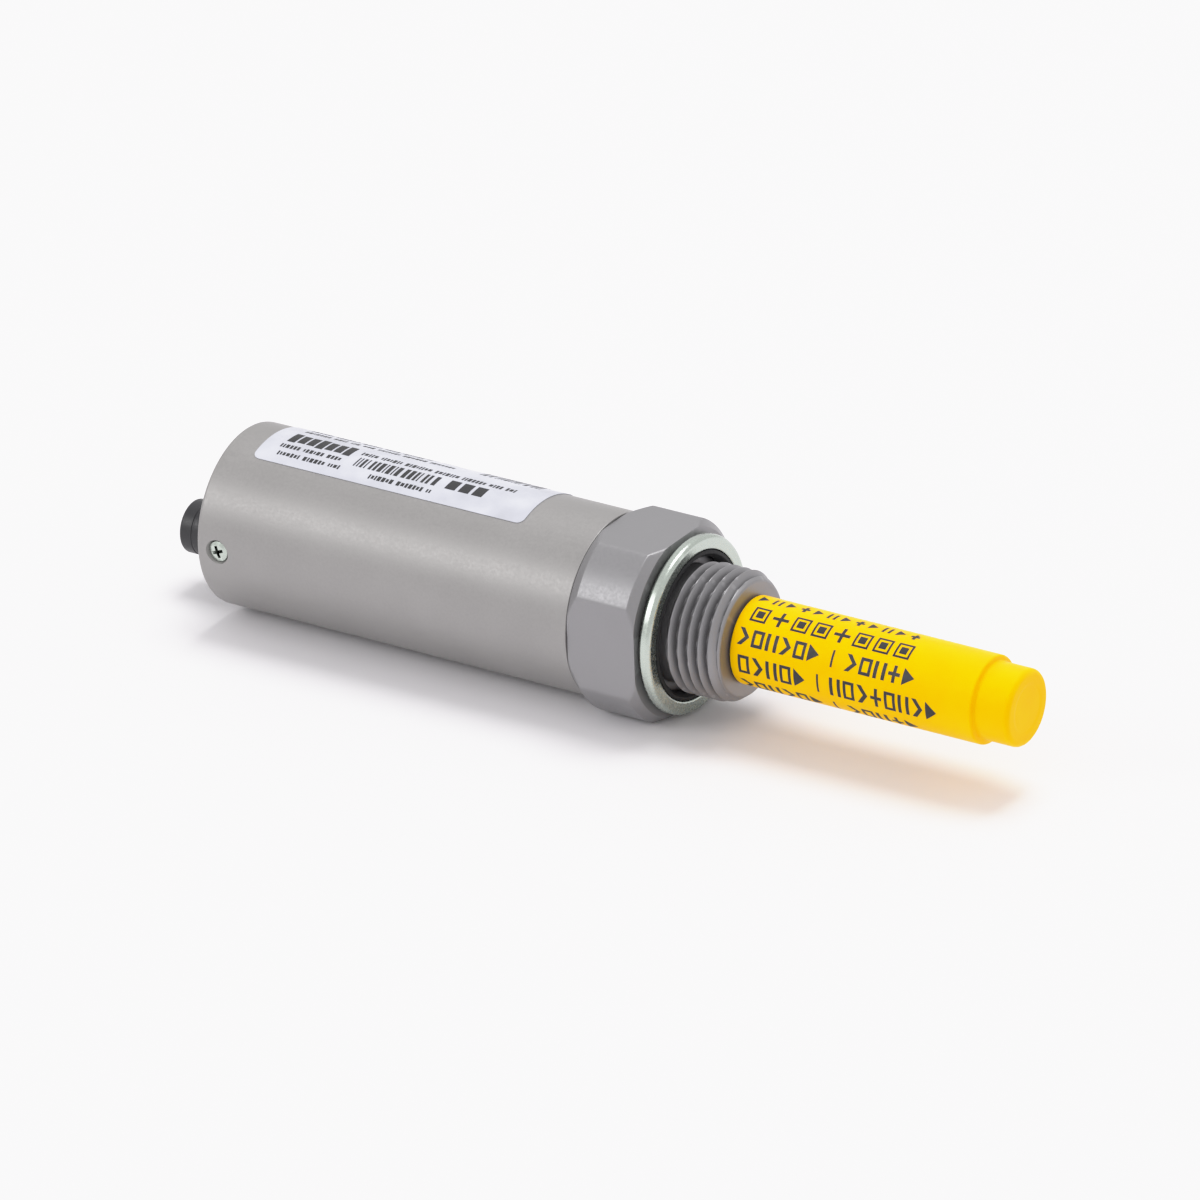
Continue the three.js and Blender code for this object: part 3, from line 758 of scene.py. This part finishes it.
def fitting_angles():
    """Even angles round the fitting, with closer ones where a flat meets a round land."""
    half_land = math.acos(FLAT / LAND_R)
    edges = [math.radians(90 * k) + side * half_land for k in range(4) for side in (-1, 1)]
    fine = [edge + math.radians(0.4 * k) for edge in edges for k in range(-3, 4)]
    coarse = [a for a in np.radians(np.arange(0, 360, 1.5))
              if min(abs(math.remainder(a - edge, math.tau)) for edge in edges) > math.radians(1.6)]
    return np.array(sorted({round(a % math.tau, 6) for a in [*coarse, *fine]}))


def fitting_radius(x, base, angle):
    """Cuts the collar's four flats and the helical thread out of the fitting's outline."""
    off = np.abs(np.mod(angle + math.pi / 4, math.pi / 2) - math.pi / 4)
    on_collar = (x > COLLAR_REAR - 0.05) & (x < 0.01) & (base > 13.5)
    with_flats = np.where(on_collar, soft_min(base, FLAT / np.cos(off), 0.3), base)
    ridges = ridge_radius(x, angle, CREST_R, ROOT_R, PITCH, FIRST_CREST)
    run_out = UNDERCUT_R + (x - THREAD_START) * 1.3
    front_chamfer = 9.22 + (THREAD_END - x) * 0.75
    limit = soft_min(run_out, front_chamfer, 0.15)
    threaded = np.maximum(soft_min(ridges, limit, 0.12), np.minimum(base, 9.25))
    on_thread = (x > THREAD_START) & (x < THREAD_END - 0.12) & (base > 8)
    return np.where(on_thread, threaded, with_flats)


def threaded_fitting():
    fitting = wrapped("threaded_fitting_look", fitting_outline(), fitting_angles(), fitting_radius)
    smooth(fitting, 40)
    place(fitting, "threaded_fitting")


def seal_washer():
    ring = turned(
        "seal_washer_ring_look",
        [(0.1, 12, 0.1), (0.1, 13.2, 0.3), (1.0, 14.3, 0.5), (2.6, 14.3, 0.95), (2.6, 12.05, 0.3)],
        192,
    )
    smooth(ring)
    place(ring, "seal_washer_ring")
    lip = turned(
        "seal_washer_lip_look",
        [(0.2, 11.95, 0.1), (0.05, 11.35, 0.2), (0.9, 10.75, 0.25), (1.8, 10.75, 0.25), (2.65, 11.35, 0.2),
         (2.5, 11.95, 0.1)],
        160,
    )
    smooth(lip, 50)
    place(lip, "seal_washer_lip")


# ---------------------------------------------------------------- probe and cap

def neck_radius(x, base, angle):
    """A fine thread on the probe tube's neck, with a chamfer at each end."""
    start, end, crest_r, pitch = NECK_START + 0.5, NECK_END - 0.1, 5.2, 0.75
    ridges = ridge_radius(x, angle, crest_r, NECK_ROOT_R, pitch, start)
    limit = NECK_ROOT_R + np.minimum(x - start, end - x) * 0.8
    on_neck = (x > start) & (x < end) & (base > 4.6)
    return np.where(on_neck, np.maximum(np.minimum(ridges, limit), NECK_ROOT_R), base + 0 * angle)


def probe_tube():
    rear, bore = -7.9, 4.4
    outline = rounded([(rear, bore, 0.1), (rear, PROBE_R, 0.2), (NECK_START, PROBE_R, 0.2),
                       (NECK_START, NECK_ROOT_R, 0.1), (NECK_END, NECK_ROOT_R, 0.25), (NECK_END, bore, 0.1)])
    dense = []
    for a, b in zip(outline, outline[1:] + outline[:1]):
        on_neck = min(a[0], b[0]) > NECK_START + 0.1 and min(a[1], b[1]) > 4.6
        dense += divided([a, b], 0.09 if on_neck else 100)[:-1]
    tube = wrapped("probe_tube_look", dense, np.linspace(0, math.tau, 128, endpoint=False), neck_radius)
    smooth(tube, 45)
    place(tube, "probe_tube")


def sintered_filter():
    bore, skirt_r, skirt_end, rear, floor_x = 4.6, 5.3, 20.6, NECK_START + 0.1, 50.8
    body = turned(
        "sintered_filter_look",
        [(floor_x, 0), (floor_x, bore, 0.4), (skirt_end, bore, 0.05), (skirt_end, skirt_r, 0.05),
         (rear, skirt_r, 0.15), (rear, PROBE_R, 0.2), (16.2, PROBE_R, 0.1), (16.4, 5.85, 0.1),
         (16.8, 5.85, 0.1), (17.0, PROBE_R, 0.1), (FILTER_END, PROBE_R, 1.1), (FILTER_END, 0)],
        128,
    )
    smooth(body)
    place(body, "sintered_filter")


def sensor_holder():
    holder = turned(
        "sensor_holder_look",
        [(14, 0), (14, 4.3, 0.3), (20.4, 4.3, 0.25), (20.4, 3.0, 0.15), (23, 3.0, 0.3), (23, 0)],
        96,
    )
    smooth(holder)
    place(holder, "sensor_holder")


def slab(name, outlines, bottom, top):
    """Flat closed plates. Each outline is a list of (x, y)."""
    vertices, faces = [], []
    for outline in outlines:
        first, count = len(vertices), len(outline)
        vertices += [(x, y, z) for z in (bottom, top) for x, y in outline]
        faces += [[first + k for k in range(count)], [first + count + k for k in range(count)]]
        faces += [[first + k, first + (k + 1) % count, first + count + (k + 1) % count, first + count + k]
                  for k in range(count)]
    return mesh_of(name, vertices, faces)


def sensor_plate(node, finger_count):
    """A small ceramic plate with two interlocking combs of gold film on its top."""
    low, high = span(node)
    size_x, size_y, top = high.x - low.x, high.y - low.y, high.z - 0.03
    plate = slab(node + "_look", [rounded_rectangle(low.x, size_x, low.y, high.y, 0.15)], low.z, top)
    smooth(plate)
    place(plate, node)
    border, rail = 0.15, 0.1
    outlines = [rectangle(low.x + border, size_x - 2 * border, low.y + border, rail),
                rectangle(low.x + border, size_x - 2 * border, high.y - border, rail)]
    pitch = (size_x - 4 * border) / finger_count
    reach = size_y - 2 * border - 2 * rail
    for k in range(finger_count):
        middle = (low.y + high.y) / 2 + (rail if k % 2 else -rail) * 0.5
        outlines.append(rectangle(low.x + 2 * border + pitch * k, pitch * 0.5, middle, reach))
    combs = slab(node + "_combs", outlines, top, top + 0.02)
    add_print(combs, BODY_OF[node], "gold_plate")


def protective_cap():
    mouth, floor_x, dish = 12.6, 60.3, CAP_END - 0.08
    cap = turned(
        "protective_cap_look",
        [(floor_x, 0), (floor_x, CAP_TIP_BORE, 0.5), (54.4, CAP_TIP_BORE, 0.2), (53.8, CAP_BORE, 0.2),
         (mouth, CAP_BORE, 0.15), (mouth, CAP_R, 0.25), (CAP_STEP - 0.25, CAP_R, 0.35),
         (CAP_STEP, CAP_TIP_R, 0.3), (CAP_END, CAP_TIP_R, 1.0), (CAP_END, 4.2, 1.5), (dish, 3.6, 1.5),
         (dish, 0)],
        160,
    )
    smooth(cap)
    place(cap, "protective_cap")
    for centre, marks in cap_rows():
        name = f"cap_print_{round(centre) % 360}"
        add_print(plates(name, marks, CAP_R, INK_THICKNESS, centre, 0.35), BODY_OF["protective_cap"])


def chevron(x, width, height):
    """An arrowhead that points towards the probe tip."""
    half, thick = height / 2, 0.8
    return [[(x, half), (x + thick, half), (x + width, 0),
             (x + thick, -half), (x, -half), (x + width - thick, 0)]]


def triangle(x, width, height):
    """A solid arrow towards the probe tip."""
    return [[(x, -height / 2), (x + width, 0), (x, height / 2)]]


def bars(x, width, height):
    """Two upright strokes."""
    stroke = width * 0.3
    return [rectangle(x, stroke, 0, height), rectangle(x + width - stroke, stroke, 0, height)]


def cross_corners(reach_x, reach_y, half_stroke):
    """The twelve corners of a cross about the origin, in order round it."""
    a, b, s = reach_x, reach_y, half_stroke
    return [(s, b), (s, s), (a, s), (a, -s), (s, -s), (s, -b),
            (-s, -b), (-s, -s), (-a, -s), (-a, s), (-s, s), (-s, b)]


def plus(x, width, height, stroke=0.55):
    """A cross of two bars in one outline."""
    middle = x + width / 2
    return [[(middle + u, v) for u, v in cross_corners(width / 2, height / 2, stroke / 2)]]


def frame_mark(x, width, height, stroke=0.5, slit=0.004):
    """A square frame, drawn as one outline with a hairline slit."""
    right, top = x + width, height / 2
    return [[(x, slit), (x, top), (right, top), (right, -top), (x, -top), (x, -slit), (x + stroke, -slit),
             (x + stroke, -top + stroke), (right - stroke, -top + stroke), (right - stroke, top - stroke),
             (x + stroke, top - stroke), (x + stroke, slit)]]


def tile(x, width, height):
    """A square frame round a block."""
    return frame_mark(x, width, height, 0.36) + [rectangle(x + 0.75, width - 1.5, 0, height - 1.5)]


def print_row(marks, x, pitch, width, height):
    """One mark after another along the axis."""
    return [outline for k, mark in enumerate(marks) for outline in mark(x + pitch * k, width, height)]


def cap_rows():
    """Rows of arrowheads, frames, bars and blocks round the cap, in place of printed words."""
    arrows = print_row((chevron, frame_mark, bars, chevron, frame_mark, triangle), 13.7, 2.5, 2.0, 2.7)
    arrows += [rectangle(30.4, 0.35, 0, 2.7)]
    arrows += print_row((chevron, frame_mark, bars, plus, triangle), 32.9, 2.55, 2.05, 2.7)
    bold = print_row((frame_mark, chevron, bars, frame_mark, triangle), 14.1, 2.5, 2.0, 3.2)
    bold += [rectangle(28.2, 0.35, 0, 3.2)]
    second_word = (bars, frame_mark, chevron, plus, frame_mark, bars, chevron, triangle)
    bold += print_row(second_word, 30.5, 2.44, 1.95, 3.2)
    tiles = print_row((tile, plus, tile, tile, plus, tile, tile, tile), 14.6, 3.66, 2.8, 2.8)
    light = print_row((triangle, bars, triangle, plus) * 3, 13.8, 2.45, 1.5, 1.9)
    return [(31, arrows), (-6, bold), (64, tiles), (95, light), (-43, arrows), (-80, tiles),
            (-117, bold), (-154, arrows), (133, bold), (170, tiles)]


# ---------------------------------------------------------------- parts kept from the frame

def keep(node, bevel=0.0, subdivide=0):
    """Keeps a CAD node's own shape, with its finish and either a fine edge or a rounder form."""
    thing = frame["nodes"][node]
    thing.data.materials.clear()
    thing.data.materials.append(MATERIALS[SLOT_OF[node]])
    thing.modifiers.new("join", "WELD").merge_threshold = 0.001 * MM
    if bevel:
        modifier = thing.modifiers.new("edge", "BEVEL")
        modifier.width, modifier.segments, modifier.limit_method = bevel * MM, 2, "ANGLE"
        modifier.angle_limit = math.radians(40)
    if subdivide:
        modifier = thing.modifiers.new("round", "SUBSURF")
        modifier.levels = modifier.render_levels = subdivide


def inner_parts():
    """Finishes every CAD node that no piece stands for."""
    for node in SLOT_OF:
        if frame["nodes"][node].hide_render:
            continue
        if node.startswith("plug_wire") or node == "probe_cable":
            keep(node, subdivide=1)
        else:
            keep(node, bevel=0.08)


# ---------------------------------------------------------------- stage

def floor():
    bpy.ops.mesh.primitive_plane_add(size=6, location=(0, 0, 0))
    plane = bpy.context.object
    plane.name = "floor"
    plane.data.materials.append(shader("floor_paper", (0.86, 0.845, 0.865), 0.7)[0])


def softbox(name, centre, size, power, colour=(1, 1, 1)):
    """A square area light that points at the object."""
    lamp = bpy.data.lights.new(name, "AREA")
    lamp.shape, lamp.size, lamp.energy, lamp.color = "SQUARE", size, power, colour
    thing = new_object(name, lamp)
    thing.location = centre
    thing.rotation_mode = "QUATERNION"
    thing.rotation_quaternion = (Vector((0, 0, 0.01)) - Vector(centre)).to_track_quat("-Z", "Y")


def lights():
    softbox("overhead", (0.05, 0.37, 1.27), 0.62, 9.3)
    softbox("front_left", (-0.65, -0.91, 0.68), 0.5, 3.4)
    world = bpy.data.worlds.new("studio")
    bpy.context.scene.world = world
    world.use_nodes = True
    background = world.node_tree.nodes["Background"]
    background.inputs["Color"].default_value = (1.0, 0.99, 1.0, 1)
    background.inputs["Strength"].default_value = 0.88


def tone():
    """Plain colours up to a soft shoulder, so that the lit floor stays just under white."""
    view = bpy.context.scene.view_settings
    view.view_transform = "Standard"
    view.use_curve_mapping = True
    curves = view.curve_mapping
    curves.clip_max_x = 4
    curve = curves.curves[3]
    curve.points[1].location = (4, 1)
    for x, y in ((0.5, 0.5), (0.75, 0.735), (0.9, 0.855), (1.05, 0.92), (1.3, 0.955), (2, 0.985)):
        curve.points.new(x, y).handle_type = "AUTO_CLAMPED"
    curves.update()


CAMERA_DISTANCE, CAMERA_AZIMUTH, CAMERA_ELEVATION = 1.55, 33.7, 25.8
CAMERA_ROLL, CAMERA_LENS = -2.0, 300


def camera():
    """Looks at the middle of the object from above, on the side with the screw and towards the probe tip."""
    data = bpy.data.cameras.new("camera")
    data.lens, data.sensor_width = CAMERA_LENS, 36
    thing = new_object("camera", data)
    azimuth, elevation = math.radians(CAMERA_AZIMUTH), math.radians(CAMERA_ELEVATION)
    back = Vector((math.sin(azimuth) * math.cos(elevation), -math.cos(azimuth) * math.cos(elevation),
                   math.sin(elevation)))
    target = (cad_box[0] + cad_box[1]) / 2
    thing.location = target + back * CAMERA_DISTANCE
    thing.rotation_mode = "QUATERNION"
    aim = (-back).to_track_quat("-Z", "Y")
    thing.rotation_quaternion = aim @ Matrix.Rotation(math.radians(CAMERA_ROLL), 3, "Z").to_quaternion()
    bpy.context.scene.camera = thing


housing_sleeve()
end_cap_screw()
housing_label()
rear_end_cap()
o_ring("end_cap_seal")
o_ring("fitting_seal")
plug_shell()
plug_insert()
contact_pins()
threaded_fitting()
seal_washer()
probe_tube()
sintered_filter()
sensor_holder()
sensor_plate("moisture_sensor", 14)
sensor_plate("temperature_sensor", 7)
protective_cap()
inner_parts()
floor()
lights()
camera()
tone()
